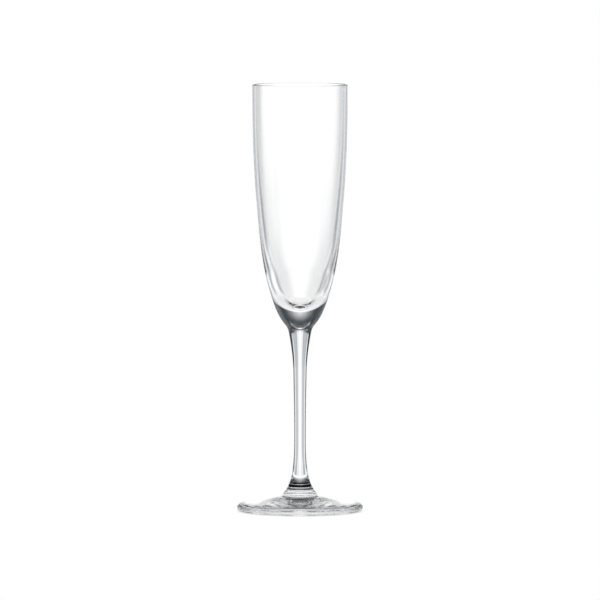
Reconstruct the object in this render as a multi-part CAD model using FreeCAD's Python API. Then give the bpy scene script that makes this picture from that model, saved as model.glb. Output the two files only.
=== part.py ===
import FreeCAD, Part
import math
import os

# Champagne flute, drawn in crystal glass.  Millimetres, Z up, standing on Z = 0 with the
# axis of the glass on the Z axis.
#
# The glass is made the way a stemmed glass is made: a blown cup with a solid boss at its
# base, a drawn stem, and a pressed foot, fused to each other end to end while hot.  Every
# piece is turned about Z, so each one is an outline in the half plane (radius, height).
#
# An outline is a run of stations.  A station is a ring on the surface:
# (radius, height, heading), heading being the way the outline runs there, in degrees
# above the outward horizontal, when it is followed from the resting ring up to the lip.

HEIGHT = 230.0          # resting ring to lip
LIP_RADIUS = 25.7       # outside, at the mouth
LIP_WALL = 1.1          # wall at the mouth, fire-polished to a full round
FOOT_RADIUS = 34.0      # widest ring of the foot
REST_OUTER = 32.2       # outside of the flat ring the glass stands on
REST_INNER = 29.4       # inside of that ring
DOME_RISE = 1.7         # hollow under the foot, at the axis
CAVITY_FLOOR = 109.5    # lowest point inside the cup

# Outside of the cup, from the fused joint at the neck up to the lip.
NECK = (5.9, 95.7, 80)
SHOULDER = (7.7, 100.2, 48)
BELLY = (16.2, 118.4, 73)
SIDE = (23.4, 166.9, 85)
LIP_OUTSIDE = (LIP_RADIUS, HEIGHT - LIP_WALL / 2, 90)

# Inside of the cup, from the floor up to the lip.  The wall thins all the way up.
FLOOR = (0.0, CAVITY_FLOOR, 0)
HEEL = (8.2, 113.6, 50)
FLANK = (15.3, 130.0, 71)
WALL = (21.7, 167.0, 84)
LIP_INSIDE = (LIP_RADIUS - LIP_WALL, HEIGHT - LIP_WALL / 2, 90)

# Stem, from the fused joint on the foot up to the neck.
ANKLE = (6.4, 13.6, 112)
FLARE = (4.6, 18.9, 101)
WAIST = (3.2, 44.0, 90)
TAPER = (3.7, 76.7, 89)

# Foot: its upper side from the rounded edge in to the ankle, which it meets over two soft
# rings, then its rim and underside.
EDGE = (FOOT_RADIUS, 2.1, 90)
BRIM = (31.1, 4.6, 169)
INSTEP = (12.6, 7.5, 165)
LOWER_RING = (9.2, 8.9, 94)
SHELF = (8.0, 11.0, 140)
UPPER_RING = (7.2, 12.2, 97)
REST_CORNER = (REST_OUTER, 0.0, 0)
DOME_EDGE = (REST_INNER, 0.0, 172)
DOME_TOP = (0.0, DOME_RISE, 180)


def point(radius, height):
    """Point of the half plane the outlines are drawn in."""
    return FreeCAD.Vector(radius, 0.0, height)


def flow(start, end):
    """Smooth edge from one station to the next, keeping both headings.

    The handles have the length that turns an even bend into a circular arc.
    """
    chord = math.hypot(end[0] - start[0], end[1] - start[1])
    leave = math.radians(start[2])
    arrive = math.radians(end[2])
    reach = chord / (3.0 * math.cos((arrive - leave) / 4.0) ** 2)
    curve = Part.BezierCurve()
    curve.setPoles([
        point(start[0], start[1]),
        point(start[0] + reach * math.cos(leave), start[1] + reach * math.sin(leave)),
        point(end[0] - reach * math.cos(arrive), end[1] - reach * math.sin(arrive)),
        point(end[0], end[1]),
    ])
    return curve.toShape()


def outline(stations):
    """Edges through a run of stations."""
    return [flow(here, there) for here, there in zip(stations, stations[1:])]


def line(start, end):
    """Straight edge between two (radius, height) pairs."""
    return Part.makeLine(point(*start), point(*end))


def turn(edges):
    """Solid of revolution about Z of the closed outline made by the edges."""
    ring = Part.Wire(Part.__sortEdges__(edges))
    solid = Part.Face(ring).revolve(point(0.0, 0.0), FreeCAD.Vector(0, 0, 1), 360)
    return solid


def make_bowl():
    """Blown cup with the solid boss below its cavity, cut flat at the neck."""
    middle = LIP_RADIUS - LIP_WALL / 2
    lip = Part.Arc(point(*LIP_OUTSIDE[:2]), point(middle, HEIGHT), point(*LIP_INSIDE[:2]))
    edges = outline([NECK, SHOULDER, BELLY, SIDE, LIP_OUTSIDE])
    edges += [lip.toShape()]
    edges += outline([FLOOR, HEEL, FLANK, WALL, LIP_INSIDE])
    edges += [line((0.0, CAVITY_FLOOR), (0.0, NECK[1]))]
    edges += [line((0.0, NECK[1]), NECK[:2])]
    return turn(edges)


def make_stem():
    """Drawn rod, slimmest in its lower half, flaring into both joints."""
    edges = outline([ANKLE, FLARE, WAIST, TAPER, NECK])
    edges += [line(NECK[:2], (0.0, NECK[1]))]
    edges += [line((0.0, NECK[1]), (0.0, ANKLE[1]))]
    edges += [line((0.0, ANKLE[1]), ANKLE[:2])]
    return turn(edges)


def make_foot():
    """Pressed disc rising to the stem over two rings, hollow underneath."""
    edges = outline([REST_CORNER, EDGE, BRIM, INSTEP])
    edges += outline([INSTEP, LOWER_RING, SHELF, UPPER_RING, ANKLE])
    edges += [line(ANKLE[:2], (0.0, ANKLE[1]))]
    edges += [line((0.0, ANKLE[1]), (0.0, DOME_RISE))]
    edges += outline([DOME_EDGE, DOME_TOP])
    edges += [line((REST_INNER, 0.0), (REST_OUTER, 0.0))]
    return turn(edges)


PIECES = {
    "bowl": make_bowl,
    "stem": make_stem,
    "foot": make_foot,
}

os.makedirs("parts", exist_ok=True)
for name, make in PIECES.items():
    make().exportStep(f"parts/{name}.step")
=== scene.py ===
import math

import bpy
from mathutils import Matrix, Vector


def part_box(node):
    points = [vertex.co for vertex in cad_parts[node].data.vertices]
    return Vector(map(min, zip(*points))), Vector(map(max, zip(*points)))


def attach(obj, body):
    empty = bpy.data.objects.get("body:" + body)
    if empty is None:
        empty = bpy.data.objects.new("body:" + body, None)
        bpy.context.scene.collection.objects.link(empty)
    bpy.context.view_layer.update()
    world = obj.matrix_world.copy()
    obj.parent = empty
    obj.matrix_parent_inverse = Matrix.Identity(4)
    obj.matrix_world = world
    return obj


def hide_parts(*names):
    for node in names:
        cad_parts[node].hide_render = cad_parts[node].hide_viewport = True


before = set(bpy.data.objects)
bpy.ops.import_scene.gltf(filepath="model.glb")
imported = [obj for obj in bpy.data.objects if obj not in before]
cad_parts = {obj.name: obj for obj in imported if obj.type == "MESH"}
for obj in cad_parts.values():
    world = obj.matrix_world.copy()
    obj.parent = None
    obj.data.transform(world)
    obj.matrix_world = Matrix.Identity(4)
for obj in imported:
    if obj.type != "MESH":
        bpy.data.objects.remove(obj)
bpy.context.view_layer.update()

# Champagne flute in clear crystal: three turned pieces, fused end to end, on a pale floor in
# a white studio.  Metres, Z up, the axis of the glass on the Z axis.

# ---------------------------------------------------------------- sizes
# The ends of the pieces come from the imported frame.  A station is a ring on the surface:
# (radius, height, heading), with the heading in degrees above the outward horizontal.

MM = 0.001

_, bowl_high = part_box("bowl")
stem_low, stem_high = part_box("stem")
_, foot_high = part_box("foot")

HEIGHT = bowl_high.z
LIP_RADIUS = 25.7 * MM
LIP_WALL = 1.1 * MM
CAVITY_FLOOR = 109.5 * MM
NECK_RADIUS = 5.9 * MM
NECK_HEIGHT = stem_high.z
ANKLE_RADIUS = stem_high.x
ANKLE_HEIGHT = stem_low.z
FOOT_RADIUS = foot_high.x
EDGE_HEIGHT = 2.1 * MM
REST_OUTER = 32.2 * MM
REST_INNER = 29.4 * MM
DOME_RISE = 1.7 * MM


def station(radius, height, heading):
    """Station given in millimetres."""
    return (radius * MM, height * MM, heading)


# outside of the cup
NECK = (NECK_RADIUS, NECK_HEIGHT, 80)
SHOULDER = station(7.7, 100.2, 48)
BELLY = station(16.2, 118.4, 73)
SIDE = station(23.4, 166.9, 85)
LIP_OUTSIDE = (LIP_RADIUS, HEIGHT - LIP_WALL / 2, 90)

# inside of the cup
FLOOR = (0.0, CAVITY_FLOOR, 0)
HEEL = station(8.2, 113.6, 50)
FLANK = station(15.3, 130.0, 71)
WALL = station(21.7, 167.0, 84)
LIP_INSIDE = (LIP_RADIUS - LIP_WALL, HEIGHT - LIP_WALL / 2, 90)

# stem
ANKLE = (ANKLE_RADIUS, ANKLE_HEIGHT, 112)
FLARE = station(4.6, 18.9, 101)
WAIST = station(3.2, 44.0, 90)
TAPER = station(3.7, 76.7, 89)

# foot
EDGE = (FOOT_RADIUS, EDGE_HEIGHT, 90)
BRIM = station(31.1, 4.6, 169)
INSTEP = station(12.6, 7.5, 165)
LOWER_RING = station(9.2, 8.9, 94)
SHELF = station(8.0, 11.0, 140)
UPPER_RING = station(7.2, 12.2, 97)
REST_CORNER = (REST_OUTER, 0.0, 0)
DOME_EDGE = (REST_INNER, 0.0, 172)
DOME_TOP = (0.0, DOME_RISE, 180)

SEGMENTS = 256          # round every piece
LIP_STEPS = 12          # over the lip
STEP = 0.9 * MM         # along the curves
EDGE_STEP = 0.3 * MM    # along the rounded edge of the foot
RING_STEP = 0.2 * MM    # over the rings of the foot
FEWEST_STEPS = 6
AXIS_RADIUS = 1e-7

# ---------------------------------------------------------------- outlines
# An outline is a list of points, each with the unit tangent there: (place, slope).


def flow(start, end, step=STEP):
    """Smooth edge from one station to the next, keeping both headings."""
    chord = math.hypot(end[0] - start[0], end[1] - start[1])
    leave = math.radians(start[2])
    arrive = math.radians(end[2])
    reach = chord / (3.0 * math.cos((arrive - leave) / 4.0) ** 2)
    a = Vector(start[:2])
    b = a + reach * Vector((math.cos(leave), math.sin(leave)))
    d = Vector(end[:2])
    c = d - reach * Vector((math.cos(arrive), math.sin(arrive)))
    count = max(FEWEST_STEPS, math.ceil(chord / step))
    points = []
    for i in range(count + 1):
        t = i / count
        s = 1 - t
        place = a * s ** 3 + b * (3 * s * s * t) + c * (3 * s * t * t) + d * t ** 3
        slope = (b - a) * (s * s) + (c - b) * (2 * s * t) + (d - c) * (t * t)
        points.append((place, slope.normalized()))
    return points


def run(stations, step=STEP):
    """Outline through a run of stations."""
    points = []
    for here, there in zip(stations, stations[1:]):
        piece = flow(here, there, step)
        points += piece if not points else piece[1:]
    return points


def reverse(points):
    """The same outline, walked the other way."""
    return [(place, -slope) for place, slope in reversed(points)]


def lip_round():
    """Half circle over the fire-polished lip, from outside to inside, without its ends."""
    radius = LIP_WALL / 2
    points = []
    for i in range(1, LIP_STEPS):
        turn = math.pi * i / LIP_STEPS
        place = Vector((
            LIP_RADIUS - radius + radius * math.cos(turn),
            HEIGHT - radius + radius * math.sin(turn),
        ))
        points.append((place, Vector((-math.sin(turn), math.cos(turn)))))
    return points


def flat(height, inner, outer):
    """Level line from the inner radius to the outer one: a face that looks down."""
    outward = Vector((1.0, 0.0))
    return [(Vector((inner, height)), outward), (Vector((outer, height)), outward)]


# ---------------------------------------------------------------- turned meshes


def spin(radius, height, k):
    """Point or vector of the half plane, turned to segment k."""
    angle = 2 * math.pi * k / SEGMENTS
    return (radius * math.cos(angle), radius * math.sin(angle), height)


def on_axis(place):
    return place.x < AXIS_RADIUS


def lathe(name, runs):
    """Closed turned mesh from runs of (outline, material index).

    The outline is walked with the glass on its left, so outward normals lie on its right.
    The normals are the exact ones of the curves.
    """
    verts, faces, indices, normals = [], [], [], []
    ring_at = {}

    def ring(place):
        """Number of a ring's first vertex.  On the axis, a ring is one vertex."""
        key = (round(place.x, 7), round(place.y, 7))
        if key not in ring_at:
            ring_at[key] = len(verts)
            if on_axis(place):
                verts.append((0.0, 0.0, place.y))
            else:
                verts.extend(spin(place.x, place.y, k) for k in range(SEGMENTS))
        return ring_at[key]

    def corner(first, place, slope, k):
        """Vertex number and normal of a ring at segment k."""
        step = 0 if on_axis(place) else k % SEGMENTS
        return first + step, spin(slope.y, -slope.x, k)

    for outline, index in runs:
        for here, there in zip(outline, outline[1:]):
            low, high = ring(here[0]), ring(there[0])
            for k in range(SEGMENTS):
                corners = [
                    corner(low, *here, k),
                    corner(low, *here, k + 1),
                    corner(high, *there, k + 1),
                    corner(high, *there, k),
                ]
                if on_axis(here[0]):
                    del corners[1]
                elif on_axis(there[0]):
                    del corners[2]
                faces.append([vertex for vertex, _ in corners])
                normals += [normal for _, normal in corners]
                indices.append(index)
    mesh = bpy.data.meshes.new(name)
    mesh.from_pydata(verts, [], faces)
    mesh.polygons.foreach_set("use_smooth", [True] * len(faces))
    mesh.polygons.foreach_set("material_index", indices)
    mesh.update()
    mesh.normals_split_custom_set(normals)
    piece = bpy.data.objects.new(name, mesh)
    bpy.context.scene.collection.objects.link(piece)
    return piece


GLASS, SEAM = 0, 1

neck_joint = flat(NECK_HEIGHT, 0.0, NECK_RADIUS)
ankle_joint = flat(ANKLE_HEIGHT, 0.0, ANKLE_RADIUS)

cup_outside = run([NECK, SHOULDER, BELLY, SIDE, LIP_OUTSIDE])
cup_inside = run([FLOOR, HEEL, FLANK, WALL, LIP_INSIDE])
stem_side = run([ANKLE, FLARE, WAIST, TAPER, NECK])
foot_edge = run([REST_CORNER, EDGE], EDGE_STEP)
foot_top = run([EDGE, BRIM, INSTEP])
foot_rings = run([INSTEP, LOWER_RING, SHELF, UPPER_RING, ANKLE], RING_STEP)

bowl = lathe("bowl_glass", [
    (neck_joint, SEAM),
    (cup_outside + lip_round() + reverse(cup_inside), GLASS),
])
stem = lathe("stem_glass", [
    (ankle_joint, SEAM),
    (stem_side, GLASS),
    (reverse(neck_joint), SEAM),
])
foot = lathe("foot_glass", [
    (reverse(run([DOME_EDGE, DOME_TOP])), GLASS),
    (flat(0.0, REST_INNER, REST_OUTER), GLASS),
    (foot_edge + foot_top[1:] + foot_rings[1:], GLASS),
    (reverse(ankle_joint), SEAM),
])

# ---------------------------------------------------------------- shader nodes


class Nodes:
    """Shader nodes of a material or of the world."""

    def __init__(self, owner):
        owner.use_nodes = True
        self.tree = owner.node_tree
        self.tree.nodes.clear()

    def add(self, kind, inputs=None, **settings):
        """New node.  Its inputs, by name or number, are values or other nodes' sockets."""
        node = self.tree.nodes.new("ShaderNode" + kind)
        for name, value in settings.items():
            setattr(node, name, value)
        for slot, value in (inputs or {}).items():
            if isinstance(value, bpy.types.NodeSocket):
                self.tree.links.new(value, node.inputs[slot])
            else:
                node.inputs[slot].default_value = value
        return node

    def math(self, operation, *values):
        return self.add("Math", dict(enumerate(values)), operation=operation).outputs[0]

    def coords(self, kind):
        return self.add("TexCoord").outputs[kind]

    def split(self, vector):
        """The x, y and z sockets of a vector."""
        return self.add("SeparateXYZ", {0: vector}).outputs

    def ramp(self, value, low, high, at_low, at_high, shape="LINEAR"):
        """Value rescaled from low..high to at_low..at_high, and held at the ends."""
        inputs = {
            "Value": value,
            "From Min": low,
            "From Max": high,
            "To Min": at_low,
            "To Max": at_high,
        }
        return self.add("MapRange", inputs, interpolation_type=shape).outputs["Result"]

    def noise(self, scale, detail, stretch=(1, 1, 1)):
        """Soft noise in the object's own space, longer where stretch (x, y, z) is lower."""
        place = self.add("Mapping", {"Vector": self.coords("Object"), "Scale": stretch})
        inputs = {"Vector": place.outputs["Vector"], "Scale": scale, "Detail": detail}
        return self.add("TexNoise", inputs).outputs["Fac"]

    def mix(self, factor, a, b):
        """Colour a, or b where factor is 1."""
        inputs = {"Factor": factor, "A": a, "B": b}
        return self.add("Mix", inputs, data_type="RGBA").outputs["Result"]


# ---------------------------------------------------------------- glass

GLASS_INDEX = 1.52
COOL_GLASS = (0.99, 0.993, 1.0, 1)
CLEAR_GLASS = (1, 1, 1, 1)
POLISH = 0.02           # roughness where the polish is poorest
WORN = 0.12             # roughness of the resting ring
WORN_HEIGHT = 0.1 * MM


def glass_material(name, stretch, scale, depth):
    """Clear crystal.

    Forming leaves long, very shallow waves in the surface: stretch, scale (per metre) and
    depth (metres).  The polish varies a little, and the ring it stands on is worn matt.
    """
    material = bpy.data.materials.new(name)
    nodes = Nodes(material)
    tint = nodes.mix(nodes.noise(30.0, 1.0), COOL_GLASS, CLEAR_GLASS)
    polish = nodes.ramp(nodes.noise(90.0, 3.0), 0.3, 0.7, 0.0, POLISH)
    height = nodes.split(nodes.coords("Object"))["Z"]
    worn = nodes.ramp(height, 0.0, WORN_HEIGHT, WORN, 0.0)
    waves = nodes.noise(scale, 1.0, stretch)
    bump = nodes.add("Bump", {"Strength": 1.0, "Distance": depth, "Height": waves})
    shader = nodes.add("BsdfPrincipled", {
        "Transmission Weight": 1.0,
        "IOR": GLASS_INDEX,
        "Base Color": tint,
        "Roughness": nodes.math("ADD", polish, worn),
        "Normal": bump.outputs["Normal"],
    })
    nodes.add("OutputMaterial", {"Surface": shader.outputs["BSDF"]})
    return material


def seam_material(name):
    """Fused joint: the glass runs on through it, so nothing shows."""
    material = bpy.data.materials.new(name)
    nodes = Nodes(material)
    shader = nodes.add("BsdfTransparent")
    nodes.add("OutputMaterial", {"Surface": shader.outputs["BSDF"]})
    return material


blown = glass_material("blown_crystal", (1, 1, 0.3), 60.0, 0.02 * MM)
drawn = glass_material("drawn_crystal", (1, 1, 0.1), 180.0, 0.006 * MM)
pressed = glass_material("pressed_crystal", (1, 1, 1), 90.0, 0.012 * MM)
seam = seam_material("fused_seam")
for piece, node, glass in (
    (bowl, "bowl", blown), (stem, "stem", drawn), (foot, "foot", pressed),
):
    piece.data.materials.append(glass)
    piece.data.materials.append(seam)
    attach(piece, "root")
    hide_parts(node)

# ---------------------------------------------------------------- studio light

scene = bpy.context.scene
scene.view_settings.view_transform = "Standard"
scene.cycles.max_bounces = 32
scene.cycles.transmission_bounces = 32
scene.cycles.glossy_bounces = 16
scene.cycles.transparent_max_bounces = 32
scene.cycles.caustics_refractive = False
scene.cycles.caustics_reflective = False


def grey(level, blue=0.0):
    """A grey, cooler the higher blue is."""
    return (level, level * (1 + blue * 0.02), level * (1 + blue * 0.04), 1.0)


class Sky:
    """World light built from soft-edged cards.

    A card fills a range of compass and a range of height, both in degrees and written as
    (centre, half, soft).  Compass runs from +X to +Y; height is above the horizon.
    """

    def __init__(self, name, level):
        self.world = bpy.data.worlds.new(name)
        self.nodes = Nodes(self.world)
        x, y, z = self.nodes.split(self.nodes.coords("Generated"))
        self.compass = self.nodes.math("ARCTAN2", y, x)
        self.height = self.nodes.math("ARCSINE", z)
        self.light = level

    def near(self, angle, centre, half, soft):
        """1 within half of the centre, easing to 0 over soft."""
        off = self.nodes.math("SUBTRACT", angle, math.radians(centre))
        off = self.nodes.math("WRAP", off, math.pi, -math.pi)
        off = self.nodes.math("ABSOLUTE", off)
        inner = math.radians(half - soft / 2)
        outer = math.radians(half + soft / 2)
        return self.nodes.ramp(off, inner, outer, 1.0, 0.0, "SMOOTHSTEP")

    def card(self, level, compass, height):
        """Lays a card over what is there; without a compass range it goes all round."""
        mask = self.near(self.height, *height)
        if compass:
            mask = self.nodes.math("MULTIPLY", self.near(self.compass, *compass), mask)
        self.light = self.nodes.mix(mask, self.light, level)

    def finish(self, seen):
        """The camera itself sees a plain level; everything else sees the cards."""
        by_camera = self.nodes.add("LightPath").outputs["Is Camera Ray"]
        colour = self.nodes.mix(by_camera, self.light, seen)
        back = self.nodes.add("Background", {"Color": colour})
        self.nodes.add("OutputWorld", {"Surface": back.outputs["Background"]})
        return self.world


BACKDROP = grey(1.1)
ALL_ROUND = None
BEHIND_GLASS = 90.0     # compass of what stands behind the glass, seen from the camera
BEHIND_CAMERA = 270.0
BELOW = (-44.0, 46.0, 10.0)

sky = Sky("studio", grey(0.03, 16))
# the pale table, brightest on the camera's side, in a dark room
sky.card(grey(0.55), ALL_ROUND, BELOW)
sky.card(grey(1.05), (BEHIND_CAMERA, 50.0, 30.0), BELOW)

# a plain lit backdrop for other viewpoints, at these compasses, from its foot to its top
for compass, lowest, highest in ((315.0, -36.0, 4.0), (180.0, -20.0, 6.0), (135.0, -48.0, -12.0)):
    middle = (lowest + highest) / 2
    sky.card(BACKDROP, (compass, 18.0, 16.0), (middle, highest - middle, 10.0))

# a dim ceiling, and on the main side a glow round the horizon, brighter low down
LOW = (-24.0, 15.0, 8.0)
sky.card(grey(0.05, 10), ALL_ROUND, (75.0, 15.0, 16.0))
sky.card(grey(0.5, 3), (BEHIND_GLASS, 18.0, 36.0), (-4.0, 34.0, 20.0))
sky.card(grey(0.45, 3), (BEHIND_GLASS, 34.0, 12.0), LOW)
sky.card(grey(0.95), (BEHIND_GLASS, 18.0, 8.0), LOW)

# dark flags, lit strips and grey gaps on its right and left
for side, strip, turn in ((-1, 0.85, 36.0), (1, 0.95, 38.0)):
    sky.card(grey(0.015, 25), (BEHIND_GLASS + side * 55.0, 9.0, 6.0), (0.0, 18.0, 8.0))
    sky.card(grey(strip), (BEHIND_GLASS + side * turn, 5.0, 4.0), (-5.0, 16.0, 10.0))
    sky.card(grey(0.5, 3), (BEHIND_GLASS + side * 23.0, 8.0, 6.0), (2.0, 10.0, 6.0))

# the backdrop in its middle, inside a softer halo, and the table close behind the glass
UPRIGHT = (-8.0, 27.0, 22.0)
sky.card(grey(0.92), (BEHIND_GLASS, 12.0, 6.0), UPRIGHT)
sky.card(BACKDROP, (BEHIND_GLASS, 4.0, 5.0), UPRIGHT)
sky.card(grey(0.95), (BEHIND_GLASS, 50.0, 10.0), (-40.0, 14.0, 10.0))
scene.world = sky.finish(grey(1.0))

# ---------------------------------------------------------------- floor

FLOOR_RADIUS = 60 * MM
FLOOR_SEGMENTS = 64
FLOOR_DROP = 0.1 * MM   # keeps the floor clear of the resting ring
FLOOR_COLOUR = (0.85, 0.85, 0.85, 1)
# painted shade: the floor's glow is dimmed under the foot, and a painted soft shadow darkens it
# behind the stem
PAINTED_SHADE_RADIUS = 31 * MM
PAINTED_SHADE_LEVEL = 0.42
PAINTED_SHADOW_CENTRE = (0.0, 9 * MM, 0.0)
PAINTED_SHADOW_RADIUS = 15 * MM
SOFT = 5 * MM


def floor_material():
    """Pale floor that glows, with painted shade under the foot and a darker painted soft shadow
    behind the stem.
    """
    material = bpy.data.materials.new("pale_floor")
    nodes = Nodes(material)
    place = nodes.coords("Object")

    def lit(centre, radius, inside):
        """Painted shade mask: 1 outside a circle on the floor, easing to the inside level."""
        away = nodes.add("VectorMath", {0: place, 1: centre}, operation="SUBTRACT")
        length = nodes.add("VectorMath", {0: away.outputs["Vector"]}, operation="LENGTH")
        return nodes.ramp(length.outputs["Value"], radius - SOFT, radius + SOFT, inside, 1.0)

    # the floor glows evenly bright, less under the foot (painted shade) and least behind the stem
    # (painted shadow)
    shade = lit((0.0, 0.0, 0.0), PAINTED_SHADE_RADIUS, PAINTED_SHADE_LEVEL)
    shadow = lit(PAINTED_SHADOW_CENTRE, PAINTED_SHADOW_RADIUS, 0.0)
    glow = nodes.add("Emission", {"Strength": nodes.math("MULTIPLY", shade, shadow)})
    matte = nodes.add("BsdfDiffuse", {"Color": FLOOR_COLOUR})
    both = nodes.add("AddShader", {0: matte.outputs[0], 1: glow.outputs[0]})
    nodes.add("OutputMaterial", {"Surface": both.outputs[0]})
    return material


floor_mesh = bpy.data.meshes.new("floor")
turns = [2 * math.pi * k / FLOOR_SEGMENTS for k in range(FLOOR_SEGMENTS)]
rim = [(FLOOR_RADIUS * math.cos(turn), FLOOR_RADIUS * math.sin(turn), 0.0) for turn in turns]
floor_mesh.from_pydata(rim, [], [tuple(range(FLOOR_SEGMENTS))])
floor_mesh.materials.append(floor_material())
floor = bpy.data.objects.new("floor", floor_mesh)
floor.location.z = -FLOOR_DROP
scene.collection.objects.link(floor)

# ---------------------------------------------------------------- camera

LENS = 457.0
SENSOR = 36.0
DISTANCE = 4.1
TILT = math.radians(3.6)
AIM = Vector((0.0, 0.0, HEIGHT / 2 - 1.1 * MM))

camera_data = bpy.data.cameras.new("camera")
camera_data.lens = LENS
camera_data.sensor_width = SENSOR
camera = bpy.data.objects.new("camera", camera_data)
camera.location = AIM + DISTANCE * Vector((0.0, -math.cos(TILT), math.sin(TILT)))
camera.rotation_euler = (AIM - camera.location).to_track_quat("-Z", "Y").to_euler()
scene.collection.objects.link(camera)
scene.camera = camera
